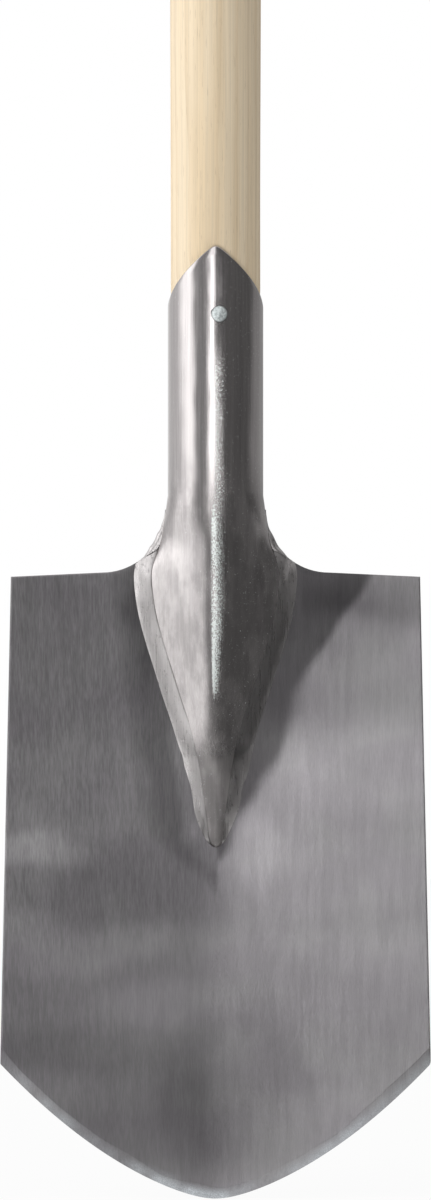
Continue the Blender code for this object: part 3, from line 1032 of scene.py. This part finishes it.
def ground_steel_look():
    """Belt-ground plate: upright scratches, patches of painted reflection and shade, a dull skin and a
    painted shadow by the straps, and a bright fresh-ground edge.
    """
    look = Look("ground_steel", 1.0, 0.75)
    scratches = look.noise((1900.0, 1900.0, 34.0), 4.0, 0.6)
    streaks = look.noise((420.0, 420.0, 9.0), 3.0, 0.5, 3.1)
    clouds = look.noise((26.0, 26.0, 40.0), 3.0, 0.5, 7.7)
    frost = look.noise((2600.0, 2600.0, 2600.0), 2.0, 0.7, 1.3)
    edge = look.painted("edge")
    colour = look.mix(look.spread(clouds, 0.35, 0.65), plate_dark, plate_light)
    shade = look.product(look.sway(scratches, 0.84, 1.16), look.sway(streaks, 0.93, 1.07))
    # lighter where reflections are painted, darker where shade is painted
    shade = look.product(shade, look.scaled(look.painted("sheen_and_shade"), 1.3, 0.35))
    # darker on the dull skin beside the straps and on the painted shadow of the front strap's ridge
    shade = look.product(shade, look.scaled(look.painted("dull_and_shade"), -0.66, 1.0))
    frosted = look.mix(look.spread(frost, 0.35, 0.65), frost_dark, frost_light)
    look.set("Base Color", look.mix(edge, look.times(colour, shade), frosted))
    look.set("Roughness", look.sway(scratches, 0.31, 0.43))
    fine = look.bump(scratches, 0.00002)
    look.set("Normal", look.bump(look.product(frost, edge), 0.00012, fine))
    return look.material


def socket_steel_look():
    """Linished tube: finer upright lines, a few long scratches, and a worn ridge with a painted
    sparkling highlight.
    """
    look = Look("socket_steel", 1.0, 0.35)
    lines = look.noise((2400.0, 2400.0, 26.0), 3.0, 0.6)
    streaks = look.noise((300.0, 300.0, 10.0), 3.0, 0.5, 4.2)
    clouds = look.noise((110.0, 110.0, 48.0), 3.0, 0.6, 5.5)
    sparkle = look.noise((2300.0, 2300.0, 1500.0), 2.0, 0.7, 9.4)
    ridge_highlight, forged, tip = look.painted("ridge_highlight"), look.painted("forged"), look.painted("tip")
    colour = look.mix(look.sway(streaks, 0.0, 1.0), tube_dark, tube_light)
    colour = look.times(colour, look.sway(lines, 0.92, 1.08))
    blotches = look.product(look.spread(clouds, 0.38, 0.62, -0.22, 0.04), forged)
    colour = look.times(colour, look.calc("ADD", look.scaled(tip, -0.22, 1.0), blotches))
    # painted highlight: where the sparkle peaks on the ridge band the steel turns pale and less metallic
    bright = look.spread(look.scaled(ridge_highlight, 0.44, sparkle), 0.67, 0.75)
    look.set("Base Color", look.mix(bright, colour, ridge_highlight_colour))
    look.set("Metallic", look.scaled(bright, -0.5, 1.0))
    rough = look.scaled(forged, 0.10, look.sway(lines, 0.11, 0.17))
    rough = look.scaled(tip, 0.28, rough)
    look.set("Roughness", look.scaled(ridge_highlight, 0.12, rough))
    fine = look.bump(lines, 0.000012)
    look.set("Normal", look.bump(look.product(sparkle, ridge_highlight), 0.00012, fine))
    return look.material


def ground_weld_look():
    """Weld metal ground to a smooth ramp: upright scratches, a few pits left, fresh metal painted
    lighter for its sheen, and painted shade on the right welds.
    """
    look = Look("ground_weld", 1.0, 0.4)
    lines = look.noise((1900.0, 1900.0, 40.0), 3.0, 0.6, 2.8)
    pits = look.noise((700.0, 700.0, 420.0), 3.0, 0.7, 2.2)
    colour = look.mix(look.spread(pits, 0.28, 0.42), weld_pit, fresh_weld_with_sheen)
    colour = look.times(colour, look.sway(lines, 0.92, 1.06))
    # darker where shade is painted on the right welds, and at the left weld's dull low end
    colour = look.times(colour, look.scaled(look.painted("dull_and_shade"), -0.8, 1.0))
    look.set("Base Color", look.mix(look.painted("seam"), colour, weld_seam))
    look.set("Roughness", look.sway(lines, 0.26, 0.38))
    fine = look.bump(lines, 0.000015)
    look.set("Normal", look.bump(look.spread(pits, 0.25, 0.42), 0.00005, fine))
    return look.material


def rivet_steel_look():
    """Hammered soft steel with a frosted, dented skin and a painted shadow round its rim."""
    look = Look("rivet_steel", 0.35)
    dents = look.noise((900.0, 900.0, 900.0), 2.0, 0.6, 6.1)
    grains = look.noise((3600.0, 3600.0, 3600.0), 2.0, 0.7, 0.4)
    colour = look.mix(look.spread(dents, 0.35, 0.65), rivet_dark, rivet_light)
    colour = look.times(colour, look.sway(grains, 0.85, 1.1))
    # painted shadow round the head's rim
    look.set("Base Color", look.mix(look.painted("rim"), colour, rivet_rim_shadow))
    look.set("Roughness", look.sway(grains, 0.3, 0.45))
    look.set("Normal", look.bump(grains, 0.00005, look.bump(dents, 0.00012)))
    return look.material


def ash_look(name, turned):
    """Planed ash: pale, with long growth lines, soft bands, short open pores, and a painted shadow along
    the socket's mouth.
    """
    look = Look(name)
    look.set("Specular IOR Level", 0.35)
    bands = look.noise((150.0, 150.0, 3.0), 3.0, 0.5, 1.7, turned)
    fibres = look.noise((1300.0, 1300.0, 12.0), 3.0, 0.6, 8.3, turned)
    pores = look.noise((2600.0, 2600.0, 110.0), 2.0, 0.6, 4.9, turned)
    leaning = (turned[0] + 0.012, turned[1] + 0.02, turned[2])
    rings = {"Scale": 55.0, "Distortion": 1.6, "Detail": 2.0, "Detail Scale": 0.35}
    rings["Vector"] = look.moved((0.031, 0.052, 0.0), leaning)
    shape = {"wave_type": "RINGS", "rings_direction": "Z", "wave_profile": "SAW"}
    growth = look.node("ShaderNodeTexWave", rings, **shape).outputs[1]
    colour = look.mix(look.sway(bands, 0.0, 1.0), ash_dark, ash_light)
    colour = look.mix(look.spread(growth, 0.55, 1.0, 0.0, 0.35), colour, ash_growth_line)
    colour = look.times(colour, look.sway(fibres, 0.93, 1.05))
    colour = look.mix(look.spread(pores, 0.63, 0.72, 0.0, 0.4), colour, ash_pore)
    # painted shadow of the socket's wall along the mouth
    mouth_shadow = look.product(look.painted("mouth_shadow"), 0.8)
    look.set("Base Color", look.mix(mouth_shadow, colour, ash_shadow))
    look.set("Roughness", look.sway(fibres, 0.66, 0.54))
    look.set("Normal", look.bump(pores, -0.00004, look.bump(fibres, 0.00005)))
    return look.material


def wedge_look():
    """Dark end grain of a hardwood wedge."""
    look = Look("wedge_wood")
    pores = look.noise((1800.0, 1800.0, 200.0), 3.0, 0.6)
    bands = look.noise((500.0, 60.0, 60.0), 2.0, 0.5, 2.0)
    colour = look.mix(look.spread(pores, 0.4, 0.65), wedge_dark, wedge_light)
    look.set("Base Color", look.times(colour, look.sway(bands, 0.88, 1.08)))
    look.set("Roughness", look.sway(pores, 0.72, 0.58))
    look.set("Normal", look.bump(pores, 0.00005))
    return look.material


# Tones painted on the blade, the socket, the welds, the rivet heads and the shaft, among them painted
# shadow, shade, reflections and highlights

# Where the belt never reached, beside the straps, the skin is dull, and right of the front strap
# the shadow of its ridge is painted on it: height over the tip, and how far the dull skin runs out
# to the left, and the dull skin with the painted shadow to the right
dull_and_shadow_stations = (
    (0.122, -0.0080, -0.0080),
    (0.134, 0.0060, -0.0040),
    (0.147, 0.0190, 0.0045),
    (0.167, 0.0310, 0.0160),
    (0.179, 0.0330, 0.0230),
    (0.203, 0.0340, 0.0330),
    (0.223, 0.0370, 0.0396),
    (0.240, 0.0380, 0.0509),
    (0.257, 0.0390, 0.0618),
    (0.290, 0.0390, 0.0800),
)
dull_border_left = 0.007
shadow_border_right = 0.0035
dull_and_shadow_wander = 0.0022
dull_and_shadow_wander_length = 0.017
dull_left_share = 0.77
dull_left_fade = 0.25
# Painted shade: the left half of the blade is painted darker, as its faces turn away from the light
left_half_shade = 0.13
patch_wander = 0.004
patch_wander_length = 0.03
# Painted sheen: how much lighter the plate beside the low end of the left weld is painted
weld_side_sheen = 0.35
seam_open = 0.8
seam_wander = 0.35
seam_wander_length = 0.012
seam_width = 0.0006
ridge_core = -0.0006
ridge_core_width = 0.0008
ridge_band_width = 0.0040
ridge_band_share = 0.5
ridge_narrow_share = 0.55
ridge_thinned = 0.3
# Width of the painted shadow line on the wood at the socket's mouth
shadow_line_width = 0.0008
least_frost = 0.08
frost_wander = 0.5
frost_wander_length = 0.006

# How dark the welds are: the painted shade of the right ones from the strap outwards, the left one's
# dull low end, and how much each end differs
left_weld_tip_dull = 0.66
right_weld_shade = (0.56, 0.80)
right_weld_low_shade = 0.93
right_weld_tip_brighter = 0.75
neck_weld_brighter = 0.1

# Fades up or down the spade: the height at which each starts or ends, and its length
forged_end = (0.315, 0.025)
tip_end = (0.192, 0.025)
dull_left_end = (0.236, 0.030)
weld_side_sheen_start = (0.146, 0.010)
weld_side_sheen_end = (0.205, 0.020)
seam_start = (0.186, 0.030)
right_weld_low_end = (0.200, 0.014)
right_weld_tip_end = (0.166, 0.012)
neck_weld_start = (shoulder_height, 0.006)
ridge_start = (0.206, 0.010)
ridge_core_end = (0.300, 0.020)
ridge_full_start = (0.210, 0.040)
ridge_sparse_start = (0.270, 0.020)
ridge_band_end = (0.362, 0.016)

# Fades across the spade or out over a rivet's head: where each starts or ends, and its length
left_half_shade_end = (0.010, 0.020)
weld_side_sheen_inner_start = (-0.006, 0.004)
weld_side_sheen_outer_end = (0.005, 0.005)
shadow_line_start = (-0.005, 0.010)
head_rim_shadow_start = (0.84, 0.12)
shadow_line_end = (1.4 * shadow_line_width, shadow_line_width)
frost_end = (1.2 * ground_width, ground_width)
ridge_core_side_end = (1.3 * ridge_core_width, ridge_core_width)

# Frosted lengths of the cutting edge: x, half-width, and how much
frost_places = (
    (-0.064, 0.020, 0.22),
    (-0.010, 0.022, 0.70),
    (0.045, 0.016, 0.50),
    (0.080, 0.022, 0.30),
)

# Patches of painted reflection and shade on the ground plate: x, height, half-width, half-height, and
# how much lighter
sheen_and_shade_patches = (
    (-0.060, 0.168, 0.034, 0.018, 0.05),
    (-0.052, 0.232, 0.055, 0.030, -0.04),
    (0.070, 0.254, 0.030, 0.012, -0.24),
    (-0.078, 0.146, 0.022, 0.008, 0.30),
    (-0.055, 0.107, 0.040, 0.012, 0.16),
    (-0.062, 0.062, 0.045, 0.012, -0.12),
    (-0.020, 0.083, 0.028, 0.010, 0.12),
    (0.030, 0.170, 0.020, 0.030, 0.16),
    (0.068, 0.180, 0.040, 0.020, 0.18),
    (0.048, 0.240, 0.030, 0.016, -0.16),
    (0.052, 0.208, 0.040, 0.018, -0.09),
    (-0.030, 0.122, 0.034, 0.026, -0.12),
    (0.016, 0.146, 0.010, 0.016, 0.22),
    (-0.005, 0.147, 0.009, 0.006, 0.22),
    (0.050, 0.136, 0.045, 0.016, 0.10),
    (0.058, 0.104, 0.036, 0.009, 0.06),
    (0.050, 0.060, 0.050, 0.016, -0.06),
    (0.008, 0.050, 0.030, 0.044, -0.17),
    (-0.020, 0.030, 0.040, 0.026, -0.14),
)


def at_back(x, y, height):
    """Whether a point lies behind the middle of the blade's plate."""
    return y > blade_front(x, height) + blade_thickness / 2


def strap_edge(x, y, height):
    """Half-width of the strap on the point's side of the blade."""
    side = 1 if at_back(x, y, height) else -1
    return through(strap_stations(side), slit_top - height, 1)


def dull_skin_and_shadow(x, y, height):
    """1 on the dull skin beside the straps and, right of the front strap, on the painted shadow of its
    ridge; 0 where the belt has ground the plate.
    """
    if at_back(x, y, height):
        return 0.0
    wander = dull_and_shadow_wander * bumps(dull_and_shadow_wander_length, x, height, 0.9)
    if x > 0:
        right = through(dull_and_shadow_stations, height, 2) + wander
        return falling(x, right + shadow_border_right, 2 * shadow_border_right)
    left = through(dull_and_shadow_stations, height, 1) + wander
    faded = dull_left_share * (1 - dull_left_fade * falling(height, *dull_left_end))
    return faded * rising(x, -left - dull_border_left, 2 * dull_border_left)


def painted_sheen_and_shade(x, y, height):
    """0.5 on the plain ground plate, more where a reflection is painted lighter, and less where shade is
    painted darker, as on the left half.
    """
    total = 0.5 - left_half_shade * falling(x, *left_half_shade_end)
    for centre_x, centre_height, half_x, half_height, amount in sheen_and_shade_patches:
        wander_x = patch_wander * bumps(patch_wander_length, x, height, centre_x)
        wander_height = patch_wander * bumps(patch_wander_length, height, x, centre_height)
        across = (x - centre_x + wander_x) / half_x
        up = (height - centre_height + wander_height) / half_height
        total += amount * near(math.hypot(across, up), 1.0)
    if x < 0 and not at_back(x, y, height):
        total += weld_side_sheen * weld_side_sheen_share(x, y, height)
    return total


def weld_side_sheen_share(x, y, height):
    """1 where a sheen is painted on the plate beside the low end of the left weld."""
    past_weld = -x - strap_edge(x, y, height) - weld_leg
    along = rising(height, *weld_side_sheen_start) * falling(height, *weld_side_sheen_end)
    return along * rising(past_weld, *weld_side_sheen_inner_start) * falling(past_weld, *weld_side_sheen_outer_end)


def seam_nearness(x, y, height):
    """1 in the fine crack where a left weld meets its strap, which comes and goes."""
    if x > 0:
        return 0.0
    open_here = seam_open + seam_wander * bumps(seam_wander_length, x, height)
    open_here *= rising(height, *seam_start)
    return open_here * falling(abs(x) - strap_edge(x, y, height), seam_width, seam_width)


def forged_nearness(x, y, height):
    """1 on the straps, which are rougher than the tube."""
    return falling(height, *forged_end)


def tip_nearness(x, y, height):
    """1 towards the straps' ends."""
    return falling(height, *tip_end)


def weld_dull_and_shade(x, y, height):
    """Painted shade on the right welds, as dark as the painted shadow round them, and a duller low end
    on the left one.
    """
    if x < 0:
        return left_weld_tip_dull * tip_nearness(x, y, height)
    dull_and_shade = between(*right_weld_shade, rising(x, strap_edge(x, y, height), weld_leg))
    dull_and_shade = max(dull_and_shade, right_weld_low_shade * falling(height, *right_weld_low_end))
    dull_and_shade *= 1 - right_weld_tip_brighter * falling(height, *right_weld_tip_end)
    return dull_and_shade * (1 - neck_weld_brighter * rising(height, *neck_weld_start))


def head_rim_shadow(centre_x, centre_height, radius):
    """A tone that is 1 on the rim of a hammered head, where its shadow is painted."""

    def rim(x, y, height):
        out = math.hypot(x - centre_x, height - centre_height) / radius
        return rising(out, *head_rim_shadow_start)

    return rim


def mouth_shadow_line(x, y, height):
    """1 in the painted shadow line that the socket's wall casts on the wood above the right of the
    mouth.
    """
    above = height - mouth_height(math.atan2(x, -y))
    return rising(x, *shadow_line_start) * falling(abs(above), *shadow_line_end)


def edge_frost(x, y, height):
    """How frosted the band along the cutting edge is: most at the tip, with a soft upper border."""
    frosted = least_frost
    for centre, half_width, amount in frost_places:
        frosted += amount * near(abs(x - centre), half_width)
    frosted *= 1 + frost_wander * bumps(frost_wander_length, x, height, 0.3)
    edge = edge_height(clamp(x, -heel_half_width, heel_half_width))
    above = (height - edge) / math.hypot(1, edge_slope(x))
    return frosted * falling(above, *frost_end)


def ridge_highlight_nearness(x, y, height):
    """1 where a highlight is painted on the worn front ridge of the strap, with a band of painted
    sparkling highlight to the right of it.
    """
    if y > 0:
        return 0.0
    aside = x - ridge_core
    core = falling(abs(aside), *ridge_core_side_end)
    core *= falling(height, *ridge_core_end)
    width = ridge_band_width * between(ridge_narrow_share, 1.0, rising(height, *ridge_full_start))
    sparse = 1 - ridge_thinned * rising(height, *ridge_sparse_start)
    sparse *= falling(height, *ridge_band_end)
    band = near(aside, width) if aside > 0 else core
    return rising(height, *ridge_start) * max(core, ridge_band_share * sparse * band)


# The room


def make_world(fill):
    """White wherever it is seen, and a softer fill as a light."""
    world = bpy.data.worlds.new("white_room")
    bpy.context.scene.world = world
    world.use_nodes = True
    nodes = Nodes(world.node_tree)
    background = nodes.tree.nodes["Background"]
    nodes.link((1.0, 1.0, 1.0), background.inputs["Color"])
    nodes.link(nodes.scaled(nodes.seen(), 1.0 - fill, fill), background.inputs["Strength"])


def stage_nodes(piece, name):
    """The nodes of a new material on a stage piece, and the socket for its surface."""
    material = bpy.data.materials.new(name)
    material.use_nodes = True
    piece.data.materials.append(material)
    tree = material.node_tree
    tree.nodes.remove(tree.nodes["Principled BSDF"])
    return Nodes(tree), tree.nodes["Material Output"].inputs["Surface"]


def make_floor(radius, glow):
    """A white floor at the blade's tip that keeps part of the shadow on it."""
    bm = bmesh.new()
    bmesh.ops.create_circle(bm, cap_ends=True, radius=radius, segments=64)
    floor = mesh_object(bm, "floor")
    floor.location.z = -grip_height
    nodes, surface = stage_nodes(floor, "white_floor")
    paint = nodes.node("ShaderNodeBsdfDiffuse", {"Color": (0.9, 0.9, 0.9)}).outputs[0]
    light = nodes.node("ShaderNodeEmission", {}).outputs[0]
    place = nodes.node("ShaderNodeTexCoord", {}).outputs["Object"]
    away = nodes.node("ShaderNodeVectorMath", {0: place}, operation="LENGTH").outputs["Value"]
    fading = {"Value": away, "From Max": radius / 2, "To Min": glow}
    fade = nodes.node("ShaderNodeMapRange", fading).outputs[0]
    share = nodes.product(nodes.seen(), fade)
    both = nodes.node("ShaderNodeMixShader", {0: share, 1: paint, 2: light})
    nodes.link(both.outputs[0], surface)


def around(azimuth, distance, height):
    """A point round the object: azimuth in degrees from the camera's side, to its right."""
    turn = math.radians(azimuth)
    return Vector((distance * math.sin(turn), -distance * math.cos(turn), height))


def strip(centre, half_width, fade, brightness):
    """The tones across a bright strip of the card, slate on its left and dark on its right."""
    slate, dark, darker = 0.40, 0.26, 0.19
    left, right = centre - half_width, centre + half_width
    edges = ((left - fade, slate), (left, brightness), (right, brightness), (right + fade, dark))
    return (*edges, (right + 2 * fade, darker))


def make_card(levels, distance):
    """A curved card that only the steel reflects, with a grey for each azimuth and level.

    It lies on the floor up to its distance and then stands up. Its pattern is drawn together
    towards the front in its lower part, as the flatter steel there shows it."""
    first, last = -150.0, 176.0
    nearest, fold, lying = 0.3, 0.02, 0.001
    lower_end, squeezed_height, squeeze_per_metre = 0.48, 0.18, 1.5
    profile = [(reach, lying, levels[0][1]) for reach in (nearest, distance - fold)]
    profile += [(distance, height, tones) for height, tones in levels]
    bm = bmesh.new()
    greys = []
    grid = [[] for _ in profile]
    for share in shares(round(last - first)):
        azimuth = between(first, last, share)
        for row, (reach, height, tones) in zip(grid, profile):
            row.append(bm.verts.new(around(azimuth, reach, height - grip_height)))
            squeeze = 1 + squeeze_per_metre * clamp(lower_end - height, 0.0, squeezed_height)
            greys.append(through(tones, azimuth * squeeze, 1))
    quads(bm, grid)
    card = mesh_object(bm, "grey_card")
    card.data.attributes.new("grey", "FLOAT", "POINT").data.foreach_set("value", greys)
    nodes, surface = stage_nodes(card, "grey_card")
    light = nodes.node("ShaderNodeEmission", {"Strength": nodes.painted("grey")})
    nodes.link(light.outputs[0], surface)
    card.visible_camera = False
    card.visible_diffuse = False
    card.visible_shadow = False
    card.visible_transmission = False
    card.visible_volume_scatter = False


def make_softbox(name, place, width, tall, brightness):
    """A lamp that faces the object from around it, as bright as a surface of that strength.

    The card stands for it in the steel's reflections."""
    light = bpy.data.lights.new(name, "AREA")
    light.shape = "RECTANGLE"
    light.size = width
    light.size_y = tall
    light.energy = math.pi * width * tall * brightness
    lamp = in_scene(name, light)
    lamp.location = around(*place)
    aim = Vector((0.0, 0.0, lamp.location.z)) - lamp.location
    lamp.rotation_euler = aim.to_track_quat("-Z", "Y").to_euler()
    lamp.visible_camera = False
    lamp.visible_glossy = False


def make_camera():
    """Level, square to the blade, as far off as the photograph's flat perspective asks."""
    data = bpy.data.cameras.new("camera")
    data.type = "PERSP"
    data.sensor_width = long_side_of_sensor
    data.lens = long_side_of_sensor * camera_distance / picture_height_metres
    data.clip_end = 50.0
    camera = in_scene("camera", data)
    camera.location = (0.0, -camera_distance, camera_above_tip - grip_height)
    camera.rotation_euler = (math.pi / 2, 0.0, 0.0)
    bpy.context.scene.camera = camera


def dress():
    blade = make_blade(ground_steel_look())
    # the dull skin beside the straps, with the front strap's shadow painted on the right
    tone(blade, "dull_and_shade", dull_skin_and_shadow)
    # painted reflections and shade on the ground plate
    tone(blade, "sheen_and_shade", painted_sheen_and_shade)
    tone(blade, "edge", edge_frost)
    socket = make_socket(socket_steel_look())
    # the painted highlight on the strap's ridge
    tone(socket, "ridge_highlight", ridge_highlight_nearness)
    tone(socket, "forged", forged_nearness)
    tone(socket, "tip", tip_nearness)
    ground_weld = ground_weld_look()
    hands = ((-1, "left"), (1, "right"))
    for side, side_name in ((-1, "front"), (1, "back")):
        for hand, hand_name in hands:
            make_strap_weld(side, hand, f"{side_name}_weld_{hand_name}", ground_weld)
    for hand, hand_name in hands:
        make_neck_weld(hand, f"neck_weld_{hand_name}", ground_weld)
    hammered = rivet_steel_look()
    rivet = make_rivet(hammered)
    tone(rivet, "rim", head_rim_shadow(rivet_offset, rivet_height, rivet_head_radius))
    pin = make_grip_pin(hammered)
    tone(pin, "rim", head_rim_shadow(0.0, grip_height - grip_pin_drop, grip_pin_radius))
    upright_ash = ash_look("ash", (0.0, 0.0, 0.0))
    shaft = make_shaft(upright_ash)
    tone(shaft, "mouth_shadow", mouth_shadow_line)
    make_tenon_end(upright_ash)
    make_crossbar(ash_look("ash_across", (0.0, math.pi / 2, 0.0)))
    make_wedge(wedge_look())


def light_room():
    make_world(fill=0.43)
    make_floor(radius=8.0, glow=0.94)
    low_left = ((-143.0, 1.0), (-100.0, 1.3), (-70.0, 1.4), (-64.0, 1.2), (-57.0, 0.8))
    middle_left = ((-143.0, 1.0), (-100.0, 1.15), (-72.0, 1.15), (-65.0, 0.95), (-58.0, 0.65))
    dim_left = ((-50.0, 0.45), (-40.0, 0.38))
    high_left = ((-143.0, 0.8), (-112.0, 0.95), (-98.0, 1.4), (-88.0, 2.2))
    high_left += ((-66.0, 2.2), (-59.0, 1.5), (-53.0, 0.45), (-38.0, 0.40))
    no_strip = ((-27.0, 0.30), (5.0, 0.2), (14.0, 0.17))
    low_right = ((60.0, 0.14), (98.0, 0.13), (110.0, 0.30), (176.0, 0.4))
    high_right = ((40.0, 0.15), (98.0, 0.13), (110.0, 0.30), (140.0, 0.38), (176.0, 0.4))
    # Height over the tip, and the bright strip's centre, half-width, fade and brightness there
    strips = (
        (0.31, -2.0, 3.0, 5.0, 4.0),
        (0.345, -9.5, 2.5, 4.0, 4.0),
        (0.374, -12.5, 5.0, 4.0, 4.0),
        (0.411, -13.5, 6.0, 4.0, 4.0),
        (0.441, -5.5, 2.0, 4.0, 4.0),
        (0.475, -7.0, 2.0, 4.0, 4.0),
        (0.505, -8.0, 2.0, 4.0, 4.0),
        (0.58, -11.0, 5.0, 10.0, 2.1),
        (2.2, -11.0, 5.0, 10.0, 2.1),
    )
    levels = [(height, low_left + dim_left + no_strip + low_right) for height in (0.02, 0.19)]
    wide = middle_left + dim_left + strip(-1.0, 17.0, 9.0, 4.3) + low_right
    levels += [(height, wide) for height in (0.215, 0.27)]
    levels += [(height, high_left + strip(*shape) + high_right) for height, *shape in strips]
    make_card(levels, distance=2.6)
    make_softbox("left_softbox", (-75.0, 1.7, 0.0), width=0.90, tall=2.1, brightness=2.0)
    make_softbox("front_left_fill", (-40.0, 2.2, 0.1), width=1.2, tall=2.0, brightness=2.3)


bpy.context.scene.view_settings.view_transform = "Standard"
dress()
light_room()
make_camera()
